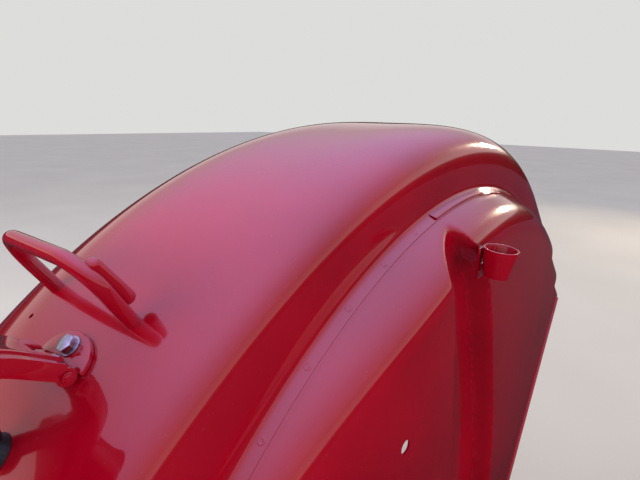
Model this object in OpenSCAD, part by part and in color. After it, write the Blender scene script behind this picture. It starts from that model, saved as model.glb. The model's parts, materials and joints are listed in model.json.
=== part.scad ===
// Left rear mudguard of a vintage tractor, seen with +X inboard, +Y forward, +Z up.
// A deep pressed crown meets an inner panel along a lapped seam. The panel is bulged,
// and a pressed channel crosses its shoulder and widens downward.
// A grab rail and a folding passenger seat stand on the crown's rear slope.
// The origin is the centre of the axle bracket's foot. Sizes are in millimetres.

/* [Place] */
// arch centre to axle foot, sideways
arch_in = 45; // [30:1:70]
// arch centre above the axle foot
arch_up = 90; // [60:1:140]

/* [Crown] */
// radius of the seam between ledge and panel
seam_r = 640; // [500:1:760]
// radius of the crown's highest line
apex_r = 728; // [580:1:850]
// radius of the outer edge
outer_r = 596; // [460:1:720]
// seam to the outer edge, sideways
outer_x = 379; // [250:1:450]
// seam to the highest line, sideways
apex_x = 151; // [90:1:200]
// width of the ledge beside the seam
ledge_w = 15; // [10:1:30]
// fall of the ledge towards the wall's foot
ledge_fall = 2.4; // [0:0.1:6]
// fullness of the outer side
outer_full = 3.54; // [2:0.01:5]
// fullness of the inner wall
wall_full = 4.57; // [2:0.01:8]
// angle where the arch runs out straight, from level forward
front_angle = 55.3; // [40:0.1:80]
// angle of the rear end
rear_angle = 170; // [130:1:185]
// length of the straight front
front_len = 403; // [100:1:500]
// sheet thickness
sheet = 2; // [1.5:0.1:4]
// outer edge's rolled bead
bead_d = 11; // [8:0.5:16]
// wire inside a bead
wire_d = 6.4; // [4:0.1:10]

/* [Inner panel] */
// bulge behind the channel
rear_bulge = 48; // [20:1:70]
// bulge ahead of the channel
dome_bulge = 40; // [20:1:70]
// shoulder radius behind the channel
rear_shoulder = 28; // [15:1:45]
// shoulder radius ahead of the channel
dome_shoulder = 37; // [15:1:45]
// flange that laps under the ledge
lap_w = 13; // [8:0.5:14]
// channel floor, from the border plane
channel_floor = 14; // [4:1:30]
// slope of the bulge's lower and front edges
bulge_slope = 34; // [20:1:60]
// fall of the rear bulge towards its rear end
bulge_fade = 5.5; // [5:0.1:7]
// height of the bulge's lower edge
bulge_low = 64; // [20:1:160]
// bottom edge of the panel below the arch centre
panel_low = 165; // [120:1:240]
// radius of the axle cut-out
axle_cut_r = 112; // [80:1:150]
// axle centre below the arch centre
axle_drop = 165; // [120:1:220]

/* [Socket] */
// mouth, outside
socket_d = 38; // [30:1:60]
// foot, outside
socket_foot_d = 28; // [20:1:50]
// height
socket_h = 32; // [20:1:60]
// wall
socket_wall = 2; // [1.5:0.1:4]
// lean of the mouth towards the driver
socket_lean = 5; // [0:0.5:10]

/* [Grab rail] */
// bar
rail_d = 12.5; // [8:0.5:20]
// angle of the rail's plane on the crown
rail_angle = 126.8; // [110:0.1:140]
// inboard foot, from the seam
rail_in = 100; // [60:1:160]
// outboard foot, from the seam
rail_out = 217; // [180:1:280]
// height above the crown
rail_h = 58; // [35:1:120]
// bend radius at the bar's centre
rail_bend = 28; // [15:1:40]

/* [Hinge] */
// bolt's angle on the crown
lug_angle = 129.5; // [120:0.1:140]
// seat's centre line, from the seam
seat_x = 133; // [100:1:180]
// lug width
lug_w = 60; // [40:1:90]
// lug plate
lug_t = 3.5; // [2.5:0.5:6]
// hinge line behind the bolt
hinge_back = 17.5; // [14:0.5:30]
// hinge line above the crown
hinge_up = 9; // [7:0.5:16]
// hinge pin
pin_d = 6; // [5:0.5:10]
// running clearance on the pin's radius
pin_gap = 0.06; // [0.03:0.01:0.1]
// rolled barrel
barrel_d = 10.8; // [9:0.2:16]

/* [Seat] */
// arm width
arm_w = 57; // [40:1:80]
// arm sheet
arm_t = 2.5; // [2:0.1:4]
// depth of the arm's side flanges
arm_h = 13; // [8:1:25]
// rise of the arm's first stretch
arm_rise = 30; // [10:1:50]
// pan width
pan_w = 300; // [240:1:400]
// pan depth
pan_d = 230; // [200:1:320]
// hinge line to the pan's front edge
pan_back = 100; // [95:1:160]
// pan's rim height
pan_h = 14; // [8:1:30]
// cushion height over the pan's floor
pad_h = 46; // [30:1:80]
// leg bar
leg_d = 16; // [12:1:25]
// half the spacing of the rear legs
leg_x = 56; // [45:1:70]

/* [Brackets] */
// foot length along the axle's top
foot_l = 170; // [120:1:220]
// foot width
foot_w = 90; // [70:1:140]
// plate thickness
plate_t = 8; // [5:0.5:12]
// foot holes, along Y
foot_sy = 120; // [80:1:180]
// foot holes, along X
foot_sx = 50; // [35:1:100]
// foot hole
foot_hole = 13; // [9:0.5:17]

/* [Hidden] */
gap = 0.3;
fine = 180;
mid = 48;
small = 24;
red = [0.65, 0.02, 0.09];
zinc = [0.75, 0.76, 0.78];
black = [0.03, 0.03, 0.035];

function rev(v) = [for (i = [len(v) - 1:-1:0]) v[i]];
function nrm(a, b) = let (d = b - a) [-d.y, d.x] / norm(d);
function mitre(p, i) =
  let (
    n = len(p) - 1,
    n1 = i == 0 ? nrm(p[0], p[1]) : nrm(p[i - 1], p[i]),
    n2 = i == n ? nrm(p[n - 1], p[n]) : nrm(p[i], p[i + 1])
  )
  (n1 + n2) / (1 + n1 * n2);
function off(p, t) = [for (i = [0:len(p) - 1]) p[i] + t * mitre(p, i)];
function arc(c, r, a0, a1, n) = [for (i = [0:n]) c + r * [cos(a0 + (a1 - a0) * i / n), sin(a0 + (a1 - a0) * i / n)]];
function polar(r, a) = [r * cos(a), r * sin(a)];

// crown section as (radius, sideways) points, from the outer edge over the top to the ledge
ledge_r = seam_r - ledge_fall;
function outer_pt(k) = [apex_r - (apex_r - outer_r) * pow(1 - k, outer_full), -outer_x + (outer_x - apex_x) * k];
function wall_pt(t) = [
  ledge_r + (apex_r - ledge_r) * pow(cos(t), 2 / wall_full),
  -apex_x + (apex_x - ledge_w) * pow(sin(t), 2 / wall_full)
];
crown_line = concat(
  [for (i = [0:11]) outer_pt(i / 12)],
  [for (i = [0:13]) wall_pt(45 * (1 - cos(180 * i / 14)))],
  [[ledge_r, -ledge_w], [seam_r, 0]]
);
bead_c = crown_line[0] + bead_d / 2 * nrm(crown_line[0], crown_line[1]);
function crown_r(x) =
  x < -apex_x
    ? apex_r - (apex_r - outer_r) * pow((-apex_x - x) / (outer_x - apex_x), outer_full)
    : ledge_r + (apex_r - ledge_r) * pow(1 - pow((x + apex_x) / (apex_x - ledge_w), wall_full), 1 / wall_full);

// the panel's lap lies under the ledge
lap_top = seam_r - sheet - gap;
lap_end = lap_top - ledge_fall * lap_w / ledge_w;

// the front edge's frame and the hinge line
seam_front = polar(seam_r, front_angle) + front_len * [sin(front_angle), -cos(front_angle)];
lug_base = polar(crown_r(-seat_x), lug_angle);
lug_out = polar(1, lug_angle);
lug_fwd = [lug_out.y, -lug_out.x];
hinge = lug_base - hinge_back * lug_fwd + hinge_up * lug_out;

module placed() {
  translate([-arch_in, 0, arch_up])
    children();
}

// carries a (radius, sideways) section round the arch and along the straight front
module along_arch(rear = rear_angle) {
  rotate([90, 0, 90]) {
    rotate([0, 0, front_angle])
      rotate_extrude(angle = rear - front_angle, $fn = fine)
        children();
    rotate([0, 0, front_angle])
      rotate([90, 0, 0])
        linear_extrude(front_len)
          children();
  }
}

// carries a section over a short angle of the arch
module over_angle(a0, a1) {
  rotate([90, 0, 90])
    rotate([0, 0, a0])
      rotate_extrude(angle = a1 - a0, $fn = fine)
        children();
}

// extrudes a (forward, up) outline sideways from x0 to x1
module across(x0, x1) {
  translate([x0, 0, 0])
    rotate([90, 0, 90])
      linear_extrude(x1 - x0)
        children();
}

// stands a child on the crown: its Z outward, its Y forward along the surface
module on_crown(a, x, lift = 0) {
  r = crown_r(x) + lift;
  translate([x, r * cos(a), r * sin(a)])
    rotate([a - 90, 0, 0])
      children();
}

module hex_head(af, h) {
  cylinder(d = af / cos(30), h = h, $fn = 6);
}

module nut(af, h, bore) {
  difference() {
    hex_head(af, h);
    translate([0, 0, -1])
      cylinder(d = bore, h = h + 2, $fn = small);
  }
}

// bent round bar along a flat (sideways, up) line with one bend radius
function unit(v) = v / norm(v);
function turn(a, b, c) = let (u = unit(b - a), v = unit(c - b)) atan2(u.x * v.y - u.y * v.x, u * v);
function cut_back(p, i, r) = i == 0 || i == len(p) - 1 ? 0 : r * tan(abs(turn(p[i - 1], p[i], p[i + 1])) / 2);

module bent_bar(p, d, r) {
  rotate([90, 0, 0]) {
    for (i = [0:len(p) - 2]) {
      u = unit(p[i + 1] - p[i]);
      a = p[i] + u * cut_back(p, i, r);
      b = p[i + 1] - u * cut_back(p, i + 1, r);
      translate([a.x, a.y, 0])
        rotate([0, 0, atan2(u.y, u.x)])
          rotate([0, 90, 0])
            cylinder(d = d, h = norm(b - a), $fn = mid);
    }
    for (i = [1:len(p) - 2]) {
      u = unit(p[i] - p[i - 1]);
      t = turn(p[i - 1], p[i], p[i + 1]);
      s = sign(t);
      a = p[i] - u * cut_back(p, i, r);
      c = a + s * r * [-u.y, u.x];
      translate([c.x, c.y, 0])
        rotate([0, 0, atan2(u.y, u.x) - 90 * s])
          rotate_extrude(angle = t, $fn = fine)
            translate([r, 0])
              circle(d = d, $fn = mid);
    }
  }
}

module rounded(w, d, r) {
  square([w - 2 * r, d], center = true);
  square([w, d - 2 * r], center = true);
  for (x = [-1, 1])
    for (y = [-1, 1])
      translate([x * (w / 2 - r), y * (d / 2 - r)])
        circle(r, $fn = mid);
}

module crown_section() {
  difference() {
    union() {
      polygon(concat(crown_line, rev(off(crown_line, sheet))));
      translate(bead_c)
        circle(d = bead_d, $fn = small);
    }
    translate(bead_c)
      circle(d = wire_d + 2 * gap, $fn = small);
  }
}

module crown_holes() {
  for (x = [-rail_in, -rail_out])
    on_crown(rail_angle, x, -20)
      cylinder(d = rail_d + 2 * gap, h = 40, $fn = mid);
  on_crown(lug_angle, -seat_x, -20)
    cylinder(d = 8.6, h = 40, $fn = small);
}

module crown() {
  color(red)
    placed()
      difference() {
        along_arch()
          crown_section();
        crown_holes();
        on_crown(129.2, -217, -10)
          cylinder(d = 5, h = 20, $fn = small);
      }
}

module outer_wire() {
  color(red)
    placed()
      along_arch(rear_angle - 0.2)
        translate(bead_c)
          circle(d = wire_d, $fn = small);
}

// rim section of a bulge, as (radius, sideways), drawn in by o
module bulge_section(depth, rs, o) {
  top = lap_top - o;
  edge = depth - o;
  r = rs - o;
  low = o > 0 ? -sheet - 1 : -sheet / 2;
  polygon(concat(
    [[0, low], [0, edge]],
    arc([top - rs * 0.12 - r, edge - r], r, 90, 8, 10),
    [[top - 1, 0], [top - 2, low]]
  ));
}

// removes what stands above a sloped plane through the line p to q; the body is on its left
module slope_cut(p, q, slope, o) {
  d = q - p;
  translate([0, p.x, p.y])
    rotate([atan2(d.y, d.x), 0, 0])
      rotate([0, slope, 0])
        translate([-o, -reach, -reach])
          cube([reach, 3 * reach, 2 * reach]);
}

// length past the arch's rim, for cuts and masks
reach = 1.3 * apex_r;

// forward place and drop below the seam's top of the channel's two sides
function below_seam(points, foot) = concat([for (p = points) [p.x, seam_r - p.y]], [foot]);
channel_left = below_seam([
  [-150, -50], [-152, 18], [-165, 40], [-168, 60], [-150, 120],
  [-132, 219], [-107, 325], [-75, 440]
], [-45, 20]);
channel_right = below_seam([
  [-118, -28], [-114, 36], [-74, 69], [-53, 96], [-18, 169],
  [10, 237], [40, 317], [66, 404]
], [100, 20]);

module bulge(o) {
  low = o > 0 ? -sheet - 1 : -sheet / 2;
  difference() {
    union() {
      intersection() {
        rotate([90, 0, 90])
          rotate([0, 0, 100])
            rotate_extrude(angle = 110, $fn = fine)
              bulge_section(rear_bulge, rear_shoulder, o);
        across(low, 80)
          polygon(concat([[-reach, reach], [-reach, -100], [-45, -100]], rev(off(channel_left, -o)), [[-150, reach]]));
      }
      intersection() {
        rotate([90, 0, 90])
          rotate([0, 0, -20])
            rotate_extrude(angle = 140, $fn = fine)
              bulge_section(dome_bulge, dome_shoulder, o);
        across(low, 80)
          polygon(concat([[100, -100], [reach, -100], [reach, reach], [-118, reach]], off(channel_right, o)));
      }
      intersection() {
        across(low, channel_floor - o)
          polygon(concat(off(channel_left, -o), rev(off(channel_right, o))));
        rotate([0, -90, 0])
          cylinder(r = lap_top - o - 3, h = 200, center = true, $fn = fine);
      }
    }
    slope_cut([294, 3], [390, 387], bulge_slope, o);
    slope_cut([-60 - seam_r, bulge_low], [300, bulge_low], bulge_slope, o);
    slope_cut([80 - seam_r, 400], [80 - seam_r, -100], bulge_slope, o);
    slope_cut([-60 - seam_r, 400], [-60 - seam_r, -100], bulge_fade, o);
  }
}

front_dir = polar(1, front_angle);
front_low = seam_front - front_dir * ((seam_front.y + panel_low + 35) / front_dir.y);

module panel_outline() {
  difference() {
    union() {
      intersection() {
        circle(r = lap_top - 5, $fn = fine);
        polygon([[-reach, 0], [0, 0], polar(2 * reach, front_angle), [0, 2 * reach], [-reach, 2 * reach]]);
      }
      polygon([
        [0, 0],
        polar(lap_top - 5, front_angle),
        seam_front - front_dir * (sheet + gap + 5),
        front_low,
        [250, -panel_low - 35],
        [205, -panel_low],
        [-300, -panel_low],
        [40 - seam_r, 20],
        polar(lap_top, rear_angle)
      ]);
    }
    translate([0, -axle_drop])
      circle(r = axle_cut_r, $fn = 96);
    polygon([[-reach, -400], [-300, -panel_low], [40 - seam_r, 20], polar(lap_top, rear_angle),
      polar(reach, rear_angle), [-2 * reach, -400]]);
  }
}

module across_hole(y, z, d) {
  translate([-10, y, z])
    rotate([0, 90, 0])
      cylinder(d = d, h = 20, $fn = mid);
}

// drilled hole in the rear bulge's face
bulge_hole = [-259, 440];
bulge_hole_d = 14;

module inner_panel() {
  color(red)
    placed() {
      difference() {
        union() {
          along_arch()
            polygon([
              [lap_top, 0],
              [lap_top - 8, 0],
              [lap_top - 8, -sheet],
              [lap_top - sheet - 0.32, -sheet],
              [lap_end - sheet, -lap_w],
              [lap_end, -lap_w]
            ]);
          across(-sheet, 0)
            panel_outline();
          bulge(0);
        }
        bulge(sheet);
        for (y = [-55, 55])
          for (z = [-30, 40])
            across_hole(y, z, 12.6);
        for (y = [-20, 20])
          across_hole(step_y + y, step_z + 5, 10.6);
        translate([rear_bulge, 0, 0])
          across_hole(bulge_hole.x, bulge_hole.y, bulge_hole_d);
      }
    }
}

module front_wire() {
  color(red)
    placed()
      translate([-sheet / 2, front_low.x, front_low.y])
        rotate([front_angle - 90, 0, 0])
          translate([0, 4.5, 0])
            cylinder(d = 8, h = norm(seam_front - front_low) - sheet - gap - 3, $fn = small);
}

module ledge_strap() {
  color(red)
    placed()
      over_angle(88, 101.5)
        polygon([
          [seam_r + gap, -0.5],
          [seam_r + gap + 1.8, -0.5],
          [ledge_r + gap + 1.8, -ledge_w + 0.6],
          [ledge_r + gap, -ledge_w + 0.6]
        ]);
}

socket_x = dome_bulge + 3.6 + socket_d / 2 + gap;
module at_socket() {
  translate([socket_x, -97, seam_r - 39.6])
    children();
}

module socket() {
  color(red)
    placed()
      at_socket()
        rotate([0, socket_lean, 0])
          translate([0, 0, -socket_h])
            difference() {
              cylinder(d1 = socket_foot_d, d2 = socket_d, h = socket_h, $fn = mid);
              translate([0, 0, -0.01])
                cylinder(
                  d1 = socket_foot_d - 2 * socket_wall,
                  d2 = socket_d - 2 * socket_wall,
                  h = socket_h + 0.02,
                  $fn = mid
                );
            }
}

// reach of the strip's lug to the socket's side, 20 below the mouth
grip_x = socket_x - dome_bulge - 2 * gap - 20 * sin(socket_lean)
  - (socket_d - (socket_d - socket_foot_d) * 20 / socket_h) / 2;

module socket_strip() {
  color(red)
    placed()
      at_socket()
        translate([dome_bulge + gap - socket_x, -8, -38])
          difference() {
            union() {
              cube([3, 26, 36]);
              translate([2, 5, 10])
                cube([grip_x - 2, 6, 8]);
            }
            translate([-1, 18, 6])
              cube([12, 12, 8]);
          }
}

module grab_rail() {
  color(red)
    placed()
      rotate([rail_angle - 90, 0, 0])
        bent_bar([
            [-rail_in, apex_r - 22],
            [-rail_in, apex_r + rail_h],
            [-rail_out, apex_r + rail_h],
            [-rail_out, apex_r - 22]
          ], rail_d, rail_bend);
}

module rail_cleat() {
  color(red)
    placed()
      rotate([rail_angle - 90, 0, 0])
        translate([-rail_in - 2.6, rail_d + gap, apex_r + 16])
          rotate([0, -5, 0]) {
            cylinder(d = rail_d, h = 35, $fn = mid);
            for (z = [0, 35])
              translate([0, 0, z])
                sphere(d = rail_d, $fn = mid);
          }
}

// thickness of crown and rib where a foot passes through
rib_t = 4;
under = sheet + gap + rib_t + gap;

module rail_nuts() {
  color(zinc)
    placed()
      for (x = [-rail_in, -rail_out])
        on_crown(rail_angle, x, -under - 10)
          nut(19, 8, rail_d + 2 * gap);
}

module crown_rib(a0, a1) {
  inner = off(crown_line, sheet + gap);
  outer = off(crown_line, sheet + gap + rib_t);
  over_angle(a0, a1)
    polygon(concat([for (i = [3:23]) inner[i]], rev([for (i = [3:23]) outer[i]])));
}

module crown_rib_rear() {
  color(red)
    placed()
      difference() {
        crown_rib(124.6, 131.6);
        crown_holes();
      }
}

module crown_rib_front() {
  color(red)
    placed()
      crown_rib(74, 78);
}

module on_lug() {
  translate([-seat_x, lug_base.x, lug_base.y])
    rotate([lug_angle - 90, 0, 0])
      children();
}

module seat_lug() {
  color(red)
    placed()
      on_lug()
        difference() {
          union() {
            translate([0, 0, gap])
              linear_extrude(lug_t)
                intersection() {
                  translate([0, -12])
                    scale([1, 0.82])
                      circle(d = lug_w, $fn = mid);
                  translate([-lug_w / 2, -11.8])
                    square([lug_w, 40]);
                }
            translate([-23.5, -hinge_back - 3, gap])
              cube([47, hinge_back - 8, lug_t]);
            translate([-23.5, -hinge_back - 3, gap])
              cube([47, 6, hinge_up - 3.5]);
            translate([-23.5, -hinge_back, hinge_up])
              rotate([0, 90, 0])
                cylinder(d = barrel_d, h = 47, $fn = mid);
          }
          translate([-30, -hinge_back, hinge_up])
            rotate([0, 90, 0])
              cylinder(d = pin_d + 2 * pin_gap, h = 60, $fn = mid);
          translate([0, 0, -1])
            cylinder(d = 8.6, h = 10, $fn = small);
        }
}

module lug_washer() {
  color(zinc)
    placed()
      on_lug()
        translate([0, 0, gap + lug_t])
          difference() {
            cylinder(d = 17, h = 1.6, $fn = mid);
            translate([0, 0, -1])
              cylinder(d = 8.6, h = 4, $fn = small);
          }
}

module lug_bolt() {
  color(zinc)
    placed()
      on_lug() {
        translate([0, 0, gap + lug_t + 1.6])
          hex_head(13, 5.3);
        translate([0, 0, -under - 11])
          cylinder(d = 8, h = gap + lug_t + 1.6 + under + 11, $fn = small);
      }
}

module lug_nut() {
  color(zinc)
    placed()
      on_lug()
        translate([0, 0, -under - 6.8])
          nut(13, 6.5, 8.4);
}

module at_hinge() {
  translate([-seat_x, hinge.x, hinge.y])
    children();
}

module hinge_pin() {
  color(red)
    placed()
      at_hinge()
        rotate([0, 90, 0]) {
          translate([0, 0, -arm_w / 2 - 4])
            cylinder(d = pin_d, h = arm_w + 7, $fn = mid);
          translate([0, 0, arm_w / 2 + 0.6])
            cylinder(d = 9, h = 1.8, $fn = mid);
          translate([0, 0, -arm_w / 2 - 2.6])
            cylinder(d = 9, h = 1.6, $fn = mid);
        }
}

// arm's upper line as (forward, up) points from the hinge
arm_u = polar(1, 180 - arm_rise);
arm_n = [arm_u.y, -arm_u.x];
arm_top = arm_t + 6.5;
arm_p0 = 3 * arm_u + arm_top * arm_n;
arm_p1 = arm_p0 + 30 * arm_u;
arm_bend = 70;
arm_c = arm_p1 - arm_bend * arm_n;
arm_level = arm_c.y + arm_bend;
arm_end = -pan_back - pan_d + 40;
arm_line = concat([arm_p0], arc(arm_c, arm_bend, 90 - arm_rise, 90, 8), [[arm_end, arm_level]]);

// raised rib on the arm, ahead of the pan
rib_x = [10, 19];
rib_up = 1.8;
rib_line = concat([for (i = [0:9]) arm_line[i]], [[-pan_back + 8, arm_level]]);
// notch that swings over the bolt's head
notch_w = 24;
notch_l = 13;
// pan bolts on the arm, either side of the pan's middle
bolt_y = 0.26 * pan_d;

module arm_notch() {
  across(-notch_w / 2, notch_w / 2)
    polygon([
      arm_p0 - 5 * arm_u + 3 * arm_n,
      arm_p0 + notch_l * arm_u + 3 * arm_n,
      arm_p0 + notch_l * arm_u - (arm_t + 1) * arm_n,
      arm_p0 - 5 * arm_u - (arm_t + 1) * arm_n
    ]);
}

module seat_arm() {
  color(red)
    placed()
      at_hinge()
        difference() {
          union() {
            across(-arm_w / 2, arm_w / 2)
              polygon(concat(arm_line, rev(off(arm_line, arm_t))));
            across(rib_x[0], rib_x[1])
              polygon(concat(rib_line, rev(off(rib_line, -rib_up))));
            for (s = [-1, 1])
              translate([s * (arm_w - arm_t) / 2, 0, 0])
                across(-arm_t / 2, arm_t / 2) {
                  polygon(concat(arm_line, rev(off(arm_line, arm_h)), [[-4, -5]]));
                  circle(r = 7, $fn = mid);
                }
          }
          arm_notch();
          rotate([0, 90, 0])
            translate([0, 0, -50])
              cylinder(d = pin_d + 2 * pin_gap, h = 100, $fn = mid);
          translate([seat_x, -hinge.x, -hinge.y])
            on_buffer()
              translate([0, 0, buffer_h - 6])
                cylinder(d = 8.6, h = 20, $fn = small);
          for (y = [bolt_y, -bolt_y])
            translate([0, -pan_back - pan_d / 2 + y, arm_level - 10])
              cylinder(d = 8.6, h = 20, $fn = small);
        }
}

buffer_a = 135.9;
buffer_lean = 8;
buffer_foot = polar(crown_r(-seat_x), buffer_a);
// along the stem from the crown to the arm's underside
buffer_h = (hinge.y + arm_level - arm_t - buffer_foot.y) / cos(buffer_lean);
module on_buffer() {
  translate([-seat_x, buffer_foot.x, buffer_foot.y])
    rotate([buffer_lean, 0, 0])
      children();
}

module front_buffer() {
  color(black)
    placed()
      difference() {
        union() {
          on_buffer()
            translate([0, 0, 8])
              cylinder(d = 16, h = buffer_h, $fn = mid);
          on_crown(buffer_a, -seat_x)
            translate([0, 0, gap])
              cylinder(d1 = 30, d2 = 20, h = 13, $fn = mid);
        }
        on_buffer()
          translate([0, 0, buffer_h - 24])
            cylinder(d = 8.6, h = 40, $fn = small);
        at_hinge()
          across(-20, 20)
            polygon(concat(off(arm_line, arm_t + gap), [[arm_end, 2 * arm_level], [0, 2 * arm_level]]));
      }
}

module buffer_bolt() {
  color(zinc)
    placed()
      on_buffer() {
        translate([0, 0, buffer_h + arm_t + 1.5])
          hex_head(13, 5.3);
        translate([0, 0, buffer_h - 20])
          cylinder(d = 8, h = 20 + arm_t + 1.5, $fn = small);
      }
}

pan_y = -pan_back - pan_d / 2;
leg_y = pan_y - 20;
pan_z = arm_level + gap;
pan_bolts_at = [[0, pan_y + bolt_y], [0, pan_y - bolt_y], [-leg_x, leg_y - 20], [leg_x, leg_y - 20]];

module seat_pan() {
  color(red)
    placed()
      at_hinge()
        difference() {
          translate([0, pan_y, pan_z])
            linear_extrude(pan_h)
              rounded(pan_w, pan_d, 55);
          translate([0, pan_y, pan_z + sheet])
            linear_extrude(pan_h)
              rounded(pan_w - 2 * sheet, pan_d - 2 * sheet, 53);
          for (p = pan_bolts_at)
            translate([p.x, p.y, pan_z - 1])
              cylinder(d = 8.6, h = 10, $fn = small);
        }
}

module pan_bolts() {
  color(zinc)
    placed()
      at_hinge()
        for (p = pan_bolts_at)
          translate([p.x, p.y, pan_z]) {
            translate([0, 0, sheet])
              hex_head(13, 5.3);
            translate([0, 0, -17])
              cylinder(d = 8, h = 17 + sheet, $fn = small);
          }
}

leg_plate = 5;
module pan_nuts() {
  color(zinc)
    placed()
      at_hinge()
        for (i = [0:3]) {
          p = pan_bolts_at[i];
          t = i < 2 ? arm_t : leg_plate;
          translate([p.x, p.y, pan_z - gap - t - 6.5])
            nut(13, 6.5, 8.4);
        }
}

board_t = 7;
module seat_board() {
  color([0.55, 0.42, 0.28])
    placed()
      at_hinge()
        difference() {
          translate([0, pan_y, pan_z + sheet])
            linear_extrude(board_t)
              rounded(pan_w - 2 * sheet - 1, pan_d - 2 * sheet - 1, 52);
          for (p = pan_bolts_at)
            translate([p.x, p.y, pan_z])
              cylinder(d = 24, h = 20, $fn = mid);
        }
}

module seat_cushion() {
  color(black)
    placed()
      at_hinge()
        translate([0, pan_y, pan_z + sheet + board_t])
          linear_extrude(pad_h - board_t)
            rounded(pan_w - 2 * sheet - 1, pan_d - 2 * sheet - 1, 52);
}

// rear legs run from the crown up to plates under the pan
rear_leg_a = 147.5;
leg_foot = polar(crown_r(-seat_x - leg_x) + 12, rear_leg_a) - hinge;
leg_top = [leg_y, pan_z - leg_plate / 2];
leg_len = norm(leg_top - leg_foot);
leg_lean = atan2(leg_foot.x - leg_top.x, leg_top.y - leg_foot.y);

module at_leg(s) {
  at_hinge()
    translate([s * leg_x, leg_foot.x, leg_foot.y])
      rotate([leg_lean, 0, 0])
        children();
}

module rear_legs() {
  color(red)
    placed()
      difference() {
        union() {
          for (s = [-1, 1]) {
            at_leg(s)
              cylinder(d = leg_d, h = leg_len + 3, $fn = mid);
            at_hinge()
              translate([s * leg_x - 18, leg_y - 34, pan_z - gap - leg_plate])
                cube([36, 48, leg_plate]);
          }
          at_leg(-1)
            translate([0, 0, 62])
              rotate([0, 90, 0])
                cylinder(d = 11, h = 2 * leg_x, $fn = mid);
        }
        at_hinge()
          translate([-200, leg_y - 100, pan_z - gap])
            cube([400, 200, 30]);
        for (i = [2, 3])
          at_hinge()
            translate([pan_bolts_at[i].x, pan_bolts_at[i].y, pan_z - 20])
              cylinder(d = 8.6, h = 30, $fn = small);
      }
}

// clears the crown's sideways slope under a foot
function foot_lift(x) = max(crown_r(x - 14), crown_r(x + 14)) - crown_r(x) + gap;

module rear_feet() {
  color(black)
    placed()
      for (s = [-1, 1])
        difference() {
          union() {
            on_crown(rear_leg_a, -seat_x + s * leg_x, foot_lift(-seat_x + s * leg_x))
              cylinder(d1 = 1.75 * leg_d, d2 = 1.56 * leg_d, h = 0.875 * leg_d, $fn = mid);
            at_leg(s)
              cylinder(d = 1.44 * leg_d, h = 1.375 * leg_d, $fn = mid);
          }
          at_leg(s)
            translate([0, 0, -0.4])
              cylinder(d = leg_d + 2 * gap, h = 40, $fn = mid);
        }
}

module axle_bracket() {
  color(red)
    placed()
      difference() {
        union() {
          translate([gap, -foot_l / 2, -arch_up])
            cube([plate_t, foot_l, 148]);
          translate([gap, -foot_l / 2, -arch_up])
            cube([foot_w, foot_l, plate_t]);
          for (y = [-foot_l / 2, foot_l / 2 - plate_t])
            translate([0, y + plate_t, 0])
              rotate([90, 0, 0])
                linear_extrude(plate_t)
                  polygon([[plate_t, -arch_up + plate_t - 1], [foot_w - 6, -arch_up + plate_t - 1],
                    [foot_w - 6, -arch_up + plate_t + 8], [plate_t + 8, 40], [plate_t, 40]]);
        }
        for (x = [-1, 1])
          for (y = [-1, 1])
            translate([arch_in + x * foot_sx / 2, y * foot_sy / 2, -arch_up - 1])
              cylinder(d = foot_hole, h = plate_t + 2, $fn = mid);
        for (y = [-55, 55])
          for (z = [-30, 40])
            translate([-5, y, z])
              rotate([0, 90, 0])
                cylinder(d = 12.6, h = 30, $fn = mid);
      }
}

module axle_bolts() {
  color(zinc)
    placed()
      for (y = [-55, 55])
        for (z = [-30, 40])
          translate([0, y, z])
            rotate([0, 90, 0]) {
              translate([0, 0, gap + plate_t])
                hex_head(19, 7.5);
              translate([0, 0, -sheet - 14])
                cylinder(d = 12, h = sheet + 14 + gap + plate_t, $fn = small);
            }
}

module axle_nuts() {
  color(zinc)
    placed()
      for (y = [-55, 55])
        for (z = [-30, 40])
          translate([-sheet - 10, y, z])
            rotate([0, 90, 0])
              nut(19, 10, 12.4);
}

step_y = 300;
step_z = -150;
module step_bracket() {
  color(red)
    placed()
      difference() {
        union() {
          translate([gap, step_y - 40, step_z - 30])
            cube([6, 80, 60]);
          translate([gap, step_y - 40, step_z - 30])
            cube([60, 80, 6]);
        }
        for (y = [-20, 20]) {
          translate([-2, step_y + y, step_z + 5])
            rotate([0, 90, 0])
              cylinder(d = 10.6, h = 12, $fn = mid);
          translate([36, step_y + y, step_z - 32])
            cylinder(d = 11, h = 12, $fn = mid);
        }
      }
}

module step_bolts() {
  color(zinc)
    placed()
      for (y = [-20, 20])
        translate([0, step_y + y, step_z + 5])
          rotate([0, 90, 0]) {
            translate([0, 0, gap + 6])
              hex_head(17, 6.4);
            translate([0, 0, -sheet - 12])
              cylinder(d = 10, h = sheet + 12 + gap + 6, $fn = small);
          }
}

module step_nuts() {
  color(zinc)
    placed()
      for (y = [-20, 20])
        translate([-sheet - 8, step_y + y, step_z + 5])
          rotate([0, 90, 0])
            nut(17, 8, 10.4);
}

crown();
outer_wire();
inner_panel();
front_wire();
ledge_strap();
socket();
socket_strip();
grab_rail();
rail_cleat();
rail_nuts();
crown_rib_rear();
crown_rib_front();
seat_lug();
lug_washer();
lug_bolt();
lug_nut();
hinge_pin();
seat_arm();
front_buffer();
buffer_bolt();
seat_pan();
pan_bolts();
pan_nuts();
seat_board();
seat_cushion();
rear_legs();
rear_feet();
axle_bracket();
axle_bolts();
axle_nuts();
step_bracket();
step_bolts();
step_nuts();
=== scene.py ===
# Left rear mudguard of a vintage tractor, with its grab rail and folding seat.
# Sizes are in metres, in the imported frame: X inboard, Y forward, Z up.
import json
import math

import bpy
from mathutils import Matrix, Vector


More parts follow.
